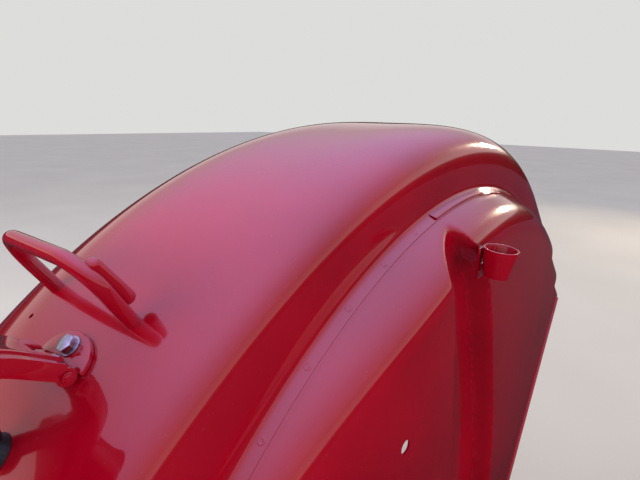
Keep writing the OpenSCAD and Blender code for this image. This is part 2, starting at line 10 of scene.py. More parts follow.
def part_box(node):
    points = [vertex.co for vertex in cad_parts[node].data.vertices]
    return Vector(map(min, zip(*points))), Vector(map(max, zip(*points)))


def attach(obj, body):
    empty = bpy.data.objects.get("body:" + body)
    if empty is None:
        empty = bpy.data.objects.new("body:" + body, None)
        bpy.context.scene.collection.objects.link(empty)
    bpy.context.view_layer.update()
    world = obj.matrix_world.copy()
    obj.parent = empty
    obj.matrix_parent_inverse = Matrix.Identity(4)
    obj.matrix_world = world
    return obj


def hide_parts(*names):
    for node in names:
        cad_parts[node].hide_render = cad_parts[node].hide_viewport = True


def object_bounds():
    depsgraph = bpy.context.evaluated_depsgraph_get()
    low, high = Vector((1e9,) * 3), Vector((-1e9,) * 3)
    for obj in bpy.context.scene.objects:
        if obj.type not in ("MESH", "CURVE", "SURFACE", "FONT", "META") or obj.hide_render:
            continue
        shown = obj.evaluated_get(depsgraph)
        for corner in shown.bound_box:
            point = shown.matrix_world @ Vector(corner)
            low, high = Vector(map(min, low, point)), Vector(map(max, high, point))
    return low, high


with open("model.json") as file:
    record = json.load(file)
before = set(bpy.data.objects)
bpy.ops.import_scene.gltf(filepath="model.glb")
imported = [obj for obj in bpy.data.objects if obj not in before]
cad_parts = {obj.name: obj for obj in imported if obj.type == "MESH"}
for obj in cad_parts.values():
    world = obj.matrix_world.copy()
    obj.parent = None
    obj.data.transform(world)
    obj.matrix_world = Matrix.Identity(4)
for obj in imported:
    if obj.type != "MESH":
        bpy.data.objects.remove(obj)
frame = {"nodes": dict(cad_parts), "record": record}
packed_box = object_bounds()

bl_info = {
    "name": "Tractor mudguard",
    "version": (1, 0, 0),
    "blender": (4, 5, 0),
    "location": "View3D > Sidebar > Mudguard",
    "description": "Builds a pressed rear mudguard with its rail, socket and folding seat",
    "category": "Add Mesh",
}


def linear(code):
    """An sRGB hex colour as linear RGBA."""
    parts = [int(code[i : i + 2], 16) / 255 for i in (1, 3, 5)]
    return tuple(c / 12.92 if c <= 0.04045 else ((c + 0.055) / 1.055) ** 2.4 for c in parts) + (1.0,)


def grey(value):
    """A colourless linear value, for roughness and masks."""
    return (value, value, value, 1.0)


# Sizes and colours.


def length(name, default, description):
    return bpy.props.FloatProperty(name=name, default=default, description=description, unit="LENGTH")


def factor(name, default, description):
    return bpy.props.FloatProperty(name=name, default=default, description=description, subtype="FACTOR")


def angle_of(name, degrees, description):
    return bpy.props.FloatProperty(
        name=name, default=math.radians(degrees), description=description, subtype="ANGLE"
    )


def colour(name, code, description):
    return bpy.props.FloatVectorProperty(
        name=name, default=linear(code), description=description, subtype="COLOR", size=4
    )


class MudguardCrownSizes(bpy.types.PropertyGroup):
    seam_radius: length("Seam radius", 0.640, "Radius of the seam between ledge and panel")
    apex_radius: length("Top radius", 0.728, "Radius of the crown's highest line")
    outer_radius: length("Outer radius", 0.596, "Radius of the crown's outer edge")
    outer_reach: length("Outer reach", 0.379, "Seam to the outer edge, sideways")
    apex_reach: length("Top reach", 0.151, "Seam to the highest line, sideways")
    ledge_width: length("Ledge width", 0.012, "Width of the flat ledge beside the seam")
    ledge_rise: length("Ledge rise", 0.0046, "Rise of the ledge from the seam to the wall's foot")
    sheet: length("Sheet", 0.002, "Thickness of the pressed sheet")
    bead: length("Bead", 0.011, "Diameter of the edge rolled round a wire")
    front_length: length("Front length", 0.403, "Length of the crown's straight front")
    outer_fullness: factor("Outer fullness", 3.54, "How late the outer side turns down")
    wall_fullness: factor("Wall fullness", 4.57, "How square the inner wall's top corner is")
    front_angle: angle_of("Front angle", 55.3, "Where the arch runs out straight, from level forward")
    rear_angle: angle_of("Rear angle", 170, "Where the arch ends behind")


class MudguardPanelSizes(bpy.types.PropertyGroup):
    rear_bulge: length("Rear bulge", 0.048, "Depth of the bulge behind the channel")
    front_bulge: length("Front bulge", 0.040, "Depth of the bulge ahead of the channel")
    rear_shoulder: length("Rear shoulder", 0.046, "Reach of the rear bulge's shoulder, from the seam")
    front_shoulder: length("Front shoulder", 0.052, "Reach of the front bulge's shoulder, from the seam")
    channel_floor: length("Channel floor", 0.014, "Channel floor's height over the border")
    rear_draft: length("Rear draft", 0.040, "Width of the channel's sloped side behind")
    front_draft: length("Front draft", 0.012, "Width of the channel's sloped side in front")
    lap: length("Lap", 0.011, "Flange under the crown's ledge")
    rear_fade: length("Rear fade", 0.022, "How much shallower the rear bulge is behind")
    low_edge: length("Lower crease", 0.064, "Height of the bulges' lower crease")
    hole: length("Hole", 0.014, "Drilled hole in the rear bulge")
    slope: angle_of("Slope", 34, "Slope of the bulges' lower and front edges")


class MudguardFittingSizes(bpy.types.PropertyGroup):
    rail_bar: length("Rail bar", 0.0125, "Diameter of the grab rail")
    rail_height: length("Rail height", 0.062, "Height of the rail's bar over the crown")
    rail_bend: length("Rail bend", 0.028, "Bend radius at the bar's centre")
    rail_spread: length("Rail spread", 0.022, "How far the outer corner leans out")
    rail_forward: length("Rail lean", 0.006, "How far the bar leans forward")
    weld_pitch: length("Weld pitch", 0.064, "Spacing of the spot welds on the ledge")
    welt: length("Welt", 0.0055, "Diameter of the cushion's piping")


class MudguardColours(bpy.types.PropertyGroup):
    enamel: colour("Enamel", "#A80020", "Deep red machine enamel")
    enamel_thin: colour("Enamel, thin", "#8C0018", "The same enamel where it lies thinner")
    zinc: colour("Zinc", "#C6CCD4", "Bright passivated zinc")
    rubber: colour("Rubber", "#14181C", "Black moulded rubber")
    vinyl: colour("Leathercloth", "#16161A", "Black leathercloth")
    plywood: colour("Plywood", "#B08A5C", "Birch plywood")
    floor: colour("Floor", "#D9D6D1", "Pale studio floor")


GROUPS = {
    "crown_sizes": MudguardCrownSizes,
    "panel_sizes": MudguardPanelSizes,
    "fitting_sizes": MudguardFittingSizes,
    "colours": MudguardColours,
}

# The arch.

ARCH_CENTRE = Vector((-0.045, 0.0, 0.090))
ACROSS = (-1, 0, 0)
GAP = 0.0003
SECTION_STEP = 0.004
ARCH_STEPS = 126
STRAIGHT_STEPS = 12
RAIL_ANGLE = math.radians(126.8)
RAIL_INNER = -0.100
RAIL_OUTER = -0.217
MATERIALS = {}


def in_row(x, y, z):
    """A point given from the arch's centre and the seam's plane."""
    return ARCH_CENTRE + Vector((x, y, z))


def polar(r, angle):
    return Vector((r * math.cos(angle), r * math.sin(angle)))


def ledge_radius(c):
    return c.seam_radius + c.ledge_rise


def crown_radius(c, x):
    """Radius of the crown's outside at a sideways place."""
    if x < -c.apex_reach:
        share = (-c.apex_reach - x) / (c.outer_reach - c.apex_reach)
        return c.apex_radius - (c.apex_radius - c.outer_radius) * share**c.outer_fullness
    share = (x + c.apex_reach) / (c.apex_reach - c.ledge_width)
    rise = c.apex_radius - ledge_radius(c)
    return ledge_radius(c) + rise * max(0.0, 1 - share**c.wall_fullness) ** (1 / c.wall_fullness)


def crown_line(c):
    """The crown's outside as closely set (radius, sideways) points, outer edge to seam."""
    rise = c.apex_radius - ledge_radius(c)
    points = []
    for i in range(160):
        k = i / 160
        r = c.apex_radius - (c.apex_radius - c.outer_radius) * (1 - k) ** c.outer_fullness
        points.append(Vector((r, -c.outer_reach + (c.outer_reach - c.apex_reach) * k)))
    for i in range(200):
        t = math.radians(45 * (1 - math.cos(math.pi * i / 199)))
        r = ledge_radius(c) + rise * max(0.0, math.cos(t)) ** (2 / c.wall_fullness)
        x = -c.apex_reach + (c.apex_reach - c.ledge_width) * math.sin(t) ** (2 / c.wall_fullness)
        points.append(Vector((r, x)))
    for i in range(1, 13):
        k = i / 12
        points.append(Vector((ledge_radius(c) - c.ledge_rise * k, -c.ledge_width * (1 - k))))
    return points


def evenly(points, step):
    """The same line with its points evenly spaced."""
    run = [0.0]
    for a, b in zip(points, points[1:]):
        run.append(run[-1] + (b - a).length)
    count = max(2, round(run[-1] / step))
    out, j = [], 0
    for i in range(count + 1):
        want = run[-1] * i / count
        while j < len(run) - 2 and run[j + 1] < want:
            j += 1
        share = (want - run[j]) / max(run[j + 1] - run[j], 1e-9)
        out.append(points[j].lerp(points[j + 1], min(1.0, share)))
    return out


def offset(points, distance):
    """A line moved sideways, to its left."""
    out = []
    for i, p in enumerate(points):
        d = points[min(i + 1, len(points) - 1)] - points[max(i - 1, 0)]
        d.normalize()
        out.append(p + distance * Vector((-d.y, d.x)))
    return out


# Modelling by hand, in code.


def start_clean():
    if bpy.context.object and bpy.context.object.mode != "OBJECT":
        bpy.ops.object.mode_set(mode="OBJECT")
    bpy.ops.object.select_all(action="DESELECT")


def take(obj):
    """Makes one object the only selected and active one."""
    start_clean()
    obj.select_set(True)
    bpy.context.view_layer.objects.active = obj


def edit(obj):
    take(obj)
    bpy.ops.object.mode_set(mode="EDIT")


def done():
    bpy.ops.object.mode_set(mode="OBJECT")


def place(obj, points):
    """Moves an object's vertices, in order, to the given points."""
    flat = [v for p in points for v in p]
    obj.data.vertices.foreach_set("co", flat)
    obj.data.update()


def select_vertices(obj, test):
    """Selects vertices by their place, from object mode."""
    take(obj)
    bpy.ops.object.mode_set(mode="EDIT")
    bpy.ops.mesh.select_mode(type="VERT")
    bpy.ops.mesh.select_all(action="DESELECT")
    bpy.ops.object.mode_set(mode="OBJECT")
    for v in obj.data.vertices:
        v.select = test(v)
    bpy.ops.object.mode_set(mode="EDIT")
    bpy.ops.mesh.select_mode(type="VERT")


def at_origin(obj):
    """Puts the object's place into its mesh."""
    take(obj)
    bpy.ops.object.transform_apply(location=True, rotation=True, scale=True)


def apply_all(obj):
    take(obj)
    for m in list(obj.modifiers):
        bpy.ops.object.modifier_apply(modifier=m.name)


def outward(obj, merge=0.00001):
    edit(obj)
    bpy.ops.mesh.select_all(action="SELECT")
    if merge:
        bpy.ops.mesh.remove_doubles(threshold=merge)
    bpy.ops.mesh.normals_make_consistent(inside=False)
    done()


def finish_piece(obj, name, body, slot, nodes=(), angle=32, material=None):
    """Names, shades and paints a piece, and says what it rides on and stands for."""
    obj.name = name
    obj.data.name = name
    take(obj)
    bpy.ops.object.shade_smooth_by_angle(angle=math.radians(angle))
    obj.data.materials.clear()
    obj.data.materials.append(material or MATERIALS[slot])
    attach(obj, body)
    if nodes:
        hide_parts(*nodes)
    return obj


def softened(node, body, slot, width):
    """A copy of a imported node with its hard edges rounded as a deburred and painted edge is."""
    source = frame["nodes"][node]
    obj = bpy.data.objects.new(node + "_finished", source.data.copy())
    bpy.context.scene.collection.objects.link(obj)
    edit(obj)
    bpy.ops.mesh.customdata_custom_splitnormals_clear()
    bpy.ops.mesh.select_all(action="SELECT")
    bpy.ops.mesh.remove_doubles(threshold=0.00001)
    bpy.ops.mesh.dissolve_limited(angle_limit=math.radians(0.6))
    done()
    bevel = obj.modifiers.new("Rounded", "BEVEL")
    bevel.width = width
    bevel.segments = 2
    bevel.limit_method = "ANGLE"
    bevel.angle_limit = math.radians(34)
    apply_all(obj)
    return finish_piece(obj, node + "_finished", body, slot, (node,))


def tube(name, points, radius, closed=False):
    """A round bar along a line of points, as a mesh."""
    start_clean()
    data = bpy.data.curves.new(name, "CURVE")
    data.dimensions = "3D"
    data.bevel_depth = radius
    data.bevel_resolution = 6
    data.use_fill_caps = not closed
    spline = data.splines.new("POLY")
    spline.points.add(len(points) - 1)
    for s, p in zip(spline.points, points):
        s.co = (*p, 1.0)
    spline.use_cyclic_u = closed
    obj = bpy.data.objects.new(name, data)
    bpy.context.scene.collection.objects.link(obj)
    take(obj)
    bpy.ops.object.convert(target="MESH")
    obj = bpy.context.object
    outward(obj)
    return obj


def rounded_path(corners, radius, steps=14):
    """A line through corners, with each inner corner turned on one bend radius."""
    out = [corners[0]]
    for a, b, c in zip(corners, corners[1:], corners[2:]):
        u, v = (a - b).normalized(), (c - b).normalized()
        half = u.angle(v) / 2
        back = radius / math.tan(half)
        centre = b + (u + v).normalized() * (radius / math.sin(half))
        p, q = b + u * back - centre, b + v * back - centre
        turn = p.angle(q)
        for i in range(steps + 1):
            k = i / steps
            out.append(centre + (p * math.sin((1 - k) * turn) + q * math.sin(k * turn)) / math.sin(turn))
    out.append(corners[-1])
    return out


# Materials.


def add_node(tree, kind, settings=None, **inputs):
    """Adds a node: settings are its own properties, inputs are values or (node, output)."""
    node = tree.nodes.new(kind)
    for name, value in (settings or {}).items():
        setattr(node, name, value)
    for name, value in inputs.items():
        socket = node.inputs[name.replace("_", " ")]
        if isinstance(value, tuple) and isinstance(value[0], bpy.types.Node):
            tree.links.new(value[0].outputs[value[1]], socket)
        else:
            socket.default_value = value
    return node


def ramp(tree, source, low, high, dark=grey(0.0), light=grey(1.0)):
    """A colour ramp between two places of a pattern."""
    node = add_node(tree, "ShaderNodeValToRGB", Fac=(source, 0))
    node.color_ramp.elements[0].position = low
    node.color_ramp.elements[0].color = dark
    node.color_ramp.elements[1].position = high
    node.color_ramp.elements[1].color = light
    return node


def new_material(name, **sockets):
    material = bpy.data.materials.new(name)
    material.use_nodes = True
    tree = material.node_tree
    tree.nodes.clear()
    out = add_node(tree, "ShaderNodeOutputMaterial")
    shader = add_node(tree, "ShaderNodeBsdfPrincipled", **sockets)
    tree.links.new(shader.outputs[0], out.inputs[0])
    place_of = add_node(tree, "ShaderNodeTexCoord")
    return material, tree, shader, (place_of, "Object")


def per_metre(size):
    """A pattern's scale from the real size of one feature, in metres."""
    return 1.0 / size


def make_enamel(colours):
    # Air-drying machine enamel sprayed on pressed steel: a deep, wet gloss with a faint
    # orange peel, long ripples in the sheet and a little settled dust.
    material, tree, shader, place_of = new_material(
        "sprayed_red_machine_enamel",
        Metallic=0.0,
        IOR=1.5,
        Specular_IOR_Level=0.25,
        Coat_Weight=1.0,
        Coat_Roughness=0.02,
        Coat_IOR=1.6,
    )
    cloud = add_node(tree, "ShaderNodeTexNoise", Vector=place_of, Scale=per_metre(0.22), Detail=3.0)
    fine = add_node(tree, "ShaderNodeTexNoise", Vector=place_of, Scale=per_metre(0.0016), Detail=2.0)
    body = ramp(tree, cloud, 0.35, 0.7, tuple(colours.enamel), tuple(colours.enamel_thin))
    dust = add_node(
        tree, "ShaderNodeTexNoise", Vector=place_of, Scale=per_metre(0.0028), Detail=4.0, Roughness=0.7
    )
    specks = ramp(tree, dust, 0.66, 0.74, light=grey(0.20))
    dusty = add_node(
        tree, "ShaderNodeMixRGB", Fac=(specks, 0), Color1=(body, 0), Color2=linear("#B98A90")
    )
    tree.links.new(dusty.outputs[0], shader.inputs["Base Color"])
    rough = ramp(tree, dust, 0.35, 0.75, grey(0.16), grey(0.26))
    tree.links.new(rough.outputs[0], shader.inputs["Roughness"])
    ripple = add_node(tree, "ShaderNodeTexNoise", Vector=place_of, Scale=per_metre(0.085), Detail=1.0)
    long_wave = add_node(tree, "ShaderNodeBump", Strength=0.25, Distance=0.0010, Height=(ripple, 0))
    peel = add_node(
        tree, "ShaderNodeBump", Strength=0.05, Distance=0.00008, Height=(fine, 0), Normal=(long_wave, 0)
    )
    tree.links.new(peel.outputs[0], shader.inputs["Normal"])
    tree.links.new(peel.outputs[0], shader.inputs["Coat Normal"])
    return material


def make_zinc(colours):
    # Zinc electroplate, blue passivated: a bright, slightly hazy metal with small blotches.
    material, tree, shader, place_of = new_material("blue_passivated_zinc_plate", Metallic=1.0)
    blotch = add_node(tree, "ShaderNodeTexNoise", Vector=place_of, Scale=per_metre(0.004), Detail=4.0)
    body = ramp(tree, blotch, 0.3, 0.75, tuple(colours.zinc), linear("#9FA8B2"))
    tree.links.new(body.outputs[0], shader.inputs["Base Color"])
    rough = ramp(tree, blotch, 0.3, 0.7, grey(0.20), grey(0.38))
    tree.links.new(rough.outputs[0], shader.inputs["Roughness"])
    grit = add_node(tree, "ShaderNodeTexNoise", Vector=place_of, Scale=per_metre(0.0006), Detail=2.0)
    bump = add_node(tree, "ShaderNodeBump", Strength=0.2, Distance=0.00005, Height=(grit, 0))
    tree.links.new(bump.outputs[0], shader.inputs["Normal"])
    return material


def make_rubber(colours):
    # Compression-moulded rubber: near black, satin, with a grey bloom and fine mould grain.
    material, tree, shader, place_of = new_material("moulded_black_rubber", IOR=1.52, Specular_IOR_Level=0.4)
    bloom = add_node(tree, "ShaderNodeTexNoise", Vector=place_of, Scale=per_metre(0.02), Detail=4.0)
    body = ramp(tree, bloom, 0.35, 0.8, tuple(colours.rubber), linear("#2C3238"))
    tree.links.new(body.outputs[0], shader.inputs["Base Color"])
    rough = ramp(tree, bloom, 0.3, 0.7, grey(0.42), grey(0.62))
    tree.links.new(rough.outputs[0], shader.inputs["Roughness"])
    grain = add_node(tree, "ShaderNodeTexNoise", Vector=place_of, Scale=per_metre(0.0009), Detail=3.0)
    bump = add_node(tree, "ShaderNodeBump", Strength=0.25, Distance=0.0001, Height=(grain, 0))
    tree.links.new(bump.outputs[0], shader.inputs["Normal"])
    return material


def make_vinyl(colours):
    # Embossed PVC leathercloth: a pebbled grain of about 1.6 mm with a soft sheen on its crests.
    material, tree, shader, place_of = new_material("embossed_black_leathercloth", IOR=1.5, Sheen_Weight=0.08)
    cells = add_node(tree, "ShaderNodeTexVoronoi", Vector=place_of, Scale=per_metre(0.0016), Randomness=1.0)
    grain = ramp(tree, cells, 0.0, 0.55)
    soft = add_node(tree, "ShaderNodeTexNoise", Vector=place_of, Scale=per_metre(0.04), Detail=3.0)
    body = ramp(tree, soft, 0.3, 0.75, tuple(colours.vinyl), linear("#232328"))
    tree.links.new(body.outputs[0], shader.inputs["Base Color"])
    rough = ramp(tree, cells, 0.1, 0.6, grey(0.36), grey(0.55))
    tree.links.new(rough.outputs[0], shader.inputs["Roughness"])
    bump = add_node(
        tree, "ShaderNodeBump", {"invert": True}, Strength=0.5, Distance=0.0003, Height=(grain, 0)
    )
    tree.links.new(bump.outputs[0], shader.inputs["Normal"])
    return material


def make_plywood(colours):
    # Sealed birch plywood: pale face veneer with long grain, darker glue lines on its edge.
    material, tree, shader, place_of = new_material("sealed_birch_plywood", IOR=1.5, Roughness=0.55)
    stretch = add_node(tree, "ShaderNodeMapping", Vector=place_of)
    stretch.inputs["Scale"].default_value = (1.0, 0.06, 1.0)
    grain = add_node(tree, "ShaderNodeTexNoise", Vector=(stretch, 0), Scale=per_metre(0.0035), Detail=5.0)
    face = ramp(tree, grain, 0.3, 0.75, tuple(colours.plywood), linear("#8C683E"))
    plies = add_node(
        tree,
        "ShaderNodeTexWave",
        {"bands_direction": "Z"},
        Vector=place_of,
        Scale=per_metre(0.0022) / 6.283,
        Distortion=0.2,
    )
    lines = ramp(tree, plies, 0.02, 0.22, dark=grey(0.35))
    edge = add_node(
        tree, "ShaderNodeMixRGB", {"blend_type": "MULTIPLY"}, Fac=0.6, Color1=(face, 0), Color2=(lines, 0)
    )
    tree.links.new(edge.outputs[0], shader.inputs["Base Color"])
    bump = add_node(tree, "ShaderNodeBump", Strength=0.2, Distance=0.0001, Height=(grain, 0))
    tree.links.new(bump.outputs[0], shader.inputs["Normal"])
    return material


def make_floor_with_painted_reflection(colours):
    # Matt floor paint: pale and even, with a faint cloudiness. In reflections it is painted near black
    # instead: a painted dark reflection of the ground in the enamel.
    material, tree, shader, place_of = new_material("floor_paint_dark_in_reflections", IOR=1.4, Roughness=0.85)
    cloud = add_node(tree, "ShaderNodeTexNoise", Vector=place_of, Scale=per_metre(0.7), Detail=2.0)
    body = ramp(tree, cloud, 0.3, 0.7, tuple(colours.floor), linear("#D2CFCA"))
    # Painted reflection: glossy rays see the floor as near black, so the gloss mirrors a dark ground that
    # isn't there.
    seen = add_node(tree, "ShaderNodeLightPath")
    mirrored = add_node(
        tree, "ShaderNodeMixRGB", Fac=(seen, "Is Glossy Ray"), Color1=(body, 0), Color2=linear("#120D0D")
    )
    tree.links.new(mirrored.outputs[0], shader.inputs["Base Color"])
    return material


class MUDGUARD_OT_materials(bpy.types.Operator):
    """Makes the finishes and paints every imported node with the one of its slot"""

    bl_idname = "mudguard.materials"
    bl_label = "Finishes"

    def execute(self, context):
        colours = context.scene.colours
        MATERIALS["red_enamel"] = make_enamel(colours)
        MATERIALS["zinc_steel"] = make_zinc(colours)
        MATERIALS["black_rubber"] = make_rubber(colours)
        MATERIALS["black_vinyl"] = make_vinyl(colours)
        MATERIALS["plywood"] = make_plywood(colours)
        MATERIALS["floor"] = make_floor_with_painted_reflection(colours)
        for part in frame["record"]["subparts"]:
            node = frame["nodes"][part["node"]]
            if not node.material_slots:
                node.data.materials.append(None)
            for s in node.material_slots:
                s.material = MATERIALS[part["material_slot"]]
        return {"FINISHED"}


# The crown.


def crown_section(c):
    """The crown's closed section: outside line, sheet's inside and the rolled bead."""
    line = evenly(crown_line(c), SECTION_STEP)
    corner = min(range(len(line)), key=lambda i: (line[i] - Vector((ledge_radius(c), -c.ledge_width))).length)
    for _ in range(2):
        line[corner - 1 : corner + 2] = [
            line[i - 1] * 0.25 + line[i] * 0.5 + line[i + 1] * 0.25 for i in range(corner - 1, corner + 2)
        ]
    inside = offset(line, c.sheet)
    along = (line[1] - line[0]).normalized()
    across = Vector((-along.y, along.x))
    radius = c.bead / 2
    centre = line[0] + across * radius
    start, stop = math.pi, math.pi + math.tau - math.acos((radius - c.sheet) / radius)
    bead = []
    for i in range(1, 20):
        a = start - (stop - start) * i / 20
        bead.append(centre + radius * (math.sin(a) * -along + math.cos(a) * across))
    keep = [p for p in inside if (p - centre).length > radius * 1.02]
    return line, keep, bead


class MUDGUARD_OT_crown(bpy.types.Operator):
    """Spins the crown's section round the arch, runs it out straight in front and drills it"""

    bl_idname = "mudguard.crown"
    bl_label = "Crown"

    def execute(self, context):
        c = context.scene.crown_sizes
        line, inside, bead = crown_section(c)
        section = line + list(reversed(inside)) + list(reversed(bead))
        start_clean()
        bpy.ops.mesh.primitive_circle_add(vertices=len(section), radius=0.1)
        crown = bpy.context.object
        at_origin(crown)
        place(crown, [in_row(p.y, *(p.x * polar(1, c.front_angle))) for p in section])
        count = len(section)
        edit(crown)
        bpy.ops.mesh.select_all(action="SELECT")
        bpy.ops.mesh.spin(
            steps=ARCH_STEPS,
            angle=c.rear_angle - c.front_angle,
            center=ARCH_CENTRE,
            axis=ACROSS,
            use_auto_merge=False,
        )
        done()
        straight_on = Vector((0, math.sin(c.front_angle), -math.cos(c.front_angle)))
        step = c.front_length / STRAIGHT_STEPS * straight_on
        select_vertices(crown, lambda v: v.index < count)
        for _ in range(STRAIGHT_STEPS):
            bpy.ops.mesh.extrude_region_move(TRANSFORM_OT_translate={"value": step})
        bpy.ops.mesh.fill()
        done()
        rear = polar(1, c.rear_angle)
        across_rear = Vector((0, -rear.y, rear.x))
        select_vertices(crown, lambda v: abs((v.co - ARCH_CENTRE).dot(across_rear)) < 1e-4 and v.co.y < 0)
        bpy.ops.mesh.fill()
        done()
        outward(crown)
        drill(crown, unused_hole(c), 0.005)
        finish_piece(crown, "crown_pressing", "mudguard", "red_enamel", ("crown",), angle=28)
        return {"FINISHED"}


def on_crown(c, angle, x, lift=0.0):
    """A place on the crown, and the direction straight out of it."""
    out = polar(1, angle)
    p = (crown_radius(c, x) + lift) * out
    return in_row(x, p.x, p.y), Vector((0, out.x, out.y))


def unused_hole(c):
    return on_crown(c, math.radians(129.2), RAIL_OUTER)


def drill(obj, where, diameter, depth=0.03):
    """Cuts a round hole through an object at a place, along a direction."""
    place_of, direction = where
    start_clean()
    bpy.ops.mesh.primitive_cylinder_add(vertices=40, radius=diameter / 2, depth=depth)
    bit = bpy.context.object
    bit.rotation_mode = "QUATERNION"
    bit.rotation_quaternion = direction.to_track_quat("Z", "Y")
    bit.location = place_of
    at_origin(bit)
    cut = obj.modifiers.new("Drilled", "BOOLEAN")
    cut.operation = "DIFFERENCE"
    cut.object = bit
    cut.solver = "EXACT"
    apply_all(obj)
    bpy.data.objects.remove(bit)


# The inner panel.

# The channel's two sides, as (height, forward) places on the panel.
CHANNEL_REAR = (
    (0.020, -0.045),
    (0.200, -0.075),
    (0.315, -0.107),
    (0.421, -0.132),
    (0.520, -0.150),
    (0.575, -0.166),
    (0.595, -0.160),
    (0.612, -0.142),
    (0.625, -0.122),
    (0.690, -0.112),
)
CHANNEL_FRONT = (
    (0.020, 0.100),
    (0.236, 0.066),
    (0.323, 0.040),
    (0.403, 0.010),
    (0.471, -0.018),
    (0.544, -0.053),
    (0.571, -0.074),
    (0.599, -0.104),
    (0.619, -0.117),
    (0.690, -0.124),
)


# Where the bulges fold down to the border, as forward places, and how softly.
REAR_FOLD = -0.560
FRONT_FOLD_FOOT = Vector((0.280, 0.003))
FRONT_FOLD_BACK = Vector((-0.9701, 0.2425))
FOLD_SOFTNESS = 0.014
FRONT_FOLD_SOFTNESS = 0.018
FOOT_SOFTNESS = 0.004
CHANNEL_SHOULDER = 0.024

# The panel's lower outline, as (forward, height) places, and the round axle cut-out in it.
REAR_CORNER = ((-0.600, 0.020), (-0.300, -0.165), (-0.112, -0.165))
FRONT_FEET = ((0.112, -0.165), (0.205, -0.165), (0.250, -0.200))
AXLE_CENTRE = Vector((0, -0.165))
AXLE_CUT = 0.112

# Share of the lower outline that faces the seam at an angle, in degrees.
FRONT_SHARE = 0.905
LOWER_SHARES = ((170, 0.0), (128, 0.308), (108, 0.472), (80, 0.780), (68, 0.862))

SHOULDER_ROWS = 34
SHOULDER_DEPTH = 0.056
FIELD_ROWS = 84
FRONT_COLUMNS = 56


def smooth(a, b, v):
    k = min(1.0, max(0.0, (v - a) / (b - a)))
    return k * k * (3 - 2 * k)


def soft_min(a, b, width):
    h = max(width - abs(a - b), 0.0) / width
    return min(a, b) - h * h * width / 4


def along(table, z):
    """Reads a line's forward place at a height."""
    if z <= table[0][0]:
        return table[0][1]
    for (z0, y0), (z1, y1) in zip(table, table[1:]):
        if z <= z1:
            return y0 + (y1 - y0) * (z - z0) / (z1 - z0)
    return table[-1][1]


def eased(table, z):
    """The same line with its corners rounded."""
    near = ((-0.012, 1), (-0.006, 2), (0, 3), (0.006, 2), (0.012, 1))
    return sum(along(table, z + d) * w for d, w in near) / 9


def shares(p, y, z):
    """How much of a place belongs to the rear bulge, the channel and the front bulge."""
    rear = smooth(-p.rear_draft / 2, p.rear_draft / 2, eased(CHANNEL_REAR, z) - y)
    front = smooth(-p.front_draft / 2, p.front_draft / 2, y - eased(CHANNEL_FRONT, z))
    return rear, max(0.0, 1 - rear - front), front


def shoulder(height, reach, start, d):
    """A bulge's height at a distance in from the seam: the ledge's slope, then steeper, then level."""
    if d >= reach:
        return height
    knee = min(start * height, 0.45 * reach)
    k = (math.sqrt(knee * knee + (reach - 2 * knee) * max(d, 0.0)) - knee) / (reach - 2 * knee)
    return height * (1 - (1 - k) ** 2)


def panel_height(p, start, y, z, d):
    """The pressed panel's height over its border, at a place and its distance in from the seam."""
    rise = math.tan(p.slope)
    low = (z - p.low_edge) * rise
    behind = (y - REAR_FOLD) * rise
    ahead = (
        (y - FRONT_FOLD_FOOT.x) * FRONT_FOLD_BACK.x + (z - FRONT_FOLD_FOOT.y) * FRONT_FOLD_BACK.y
    ) * rise
    rear, channel, front = shares(p, y, z)
    deep = p.rear_bulge - p.rear_fade * smooth(0.18, 0.50, -y)
    top = (
        rear * shoulder(deep, p.rear_shoulder, start, d)
        + channel * shoulder(p.channel_floor, CHANNEL_SHOULDER, start, d)
        + front * shoulder(p.front_bulge, p.front_shoulder, start, d)
    )
    h = soft_min(soft_min(top, low, FOLD_SOFTNESS), behind, FOLD_SOFTNESS)
    h = soft_min(h, ahead, FRONT_FOLD_SOFTNESS)
    return -soft_min(-h, 0.0, FOOT_SOFTNESS)


def panel_border(c):
    """The panel's lower outline, from the rear corner to the front corner."""
    outline = [Vector(q) for q in REAR_CORNER]
    for i in range(1, 48):
        outline.append(AXLE_CENTRE + polar(AXLE_CUT, math.pi * (1 - i / 48)))
    forward = polar(1, c.front_angle)
    seam_front = c.seam_radius * forward + c.front_length * Vector((forward.y, -forward.x))
    front_low = seam_front - forward * ((seam_front.y - FRONT_FEET[-1][1]) / forward.y)
    return outline + [Vector(q) for q in FRONT_FEET] + [front_low]


def at_length(points, share):
    run = [0.0]
    for a, b in zip(points, points[1:]):
        run.append(run[-1] + (b - a).length)
    want = run[-1] * share
    for i in range(len(points) - 1):
        if want <= run[i + 1] + 1e-9:
            return points[i].lerp(points[i + 1], (want - run[i]) / (run[i + 1] - run[i]))
    return points[-1]


def panel_columns(c, top):
    """Seam places from rear to front: point, direction inward and share of the lower outline."""
    out = []
    degrees = []
    a = math.degrees(c.rear_angle)
    front = math.degrees(c.front_angle)
    while a > front + 0.25:
        degrees.append(a)
        a -= 0.25 if 96 < a < 110 else 0.5 if a < 130 else 1.0
    knots = LOWER_SHARES + ((front, FRONT_SHARE),)
    for a in degrees:
        share = knots[-1][1]
        for (a0, s0), (a1, s1) in zip(knots, knots[1:]):
            if a1 <= a <= a0:
                share = s0 + (s1 - s0) * (a0 - a) / (a0 - a1)
        n = polar(1, math.radians(a))
        out.append((top * n, -n, share))
    n = polar(1, c.front_angle)
    for i in range(FRONT_COLUMNS + 1):
        k = i / FRONT_COLUMNS
        seam = top * n + c.front_length * k * Vector((n.y, -n.x))
        out.append((seam, -n, FRONT_SHARE + (1 - FRONT_SHARE) * k))
    return out


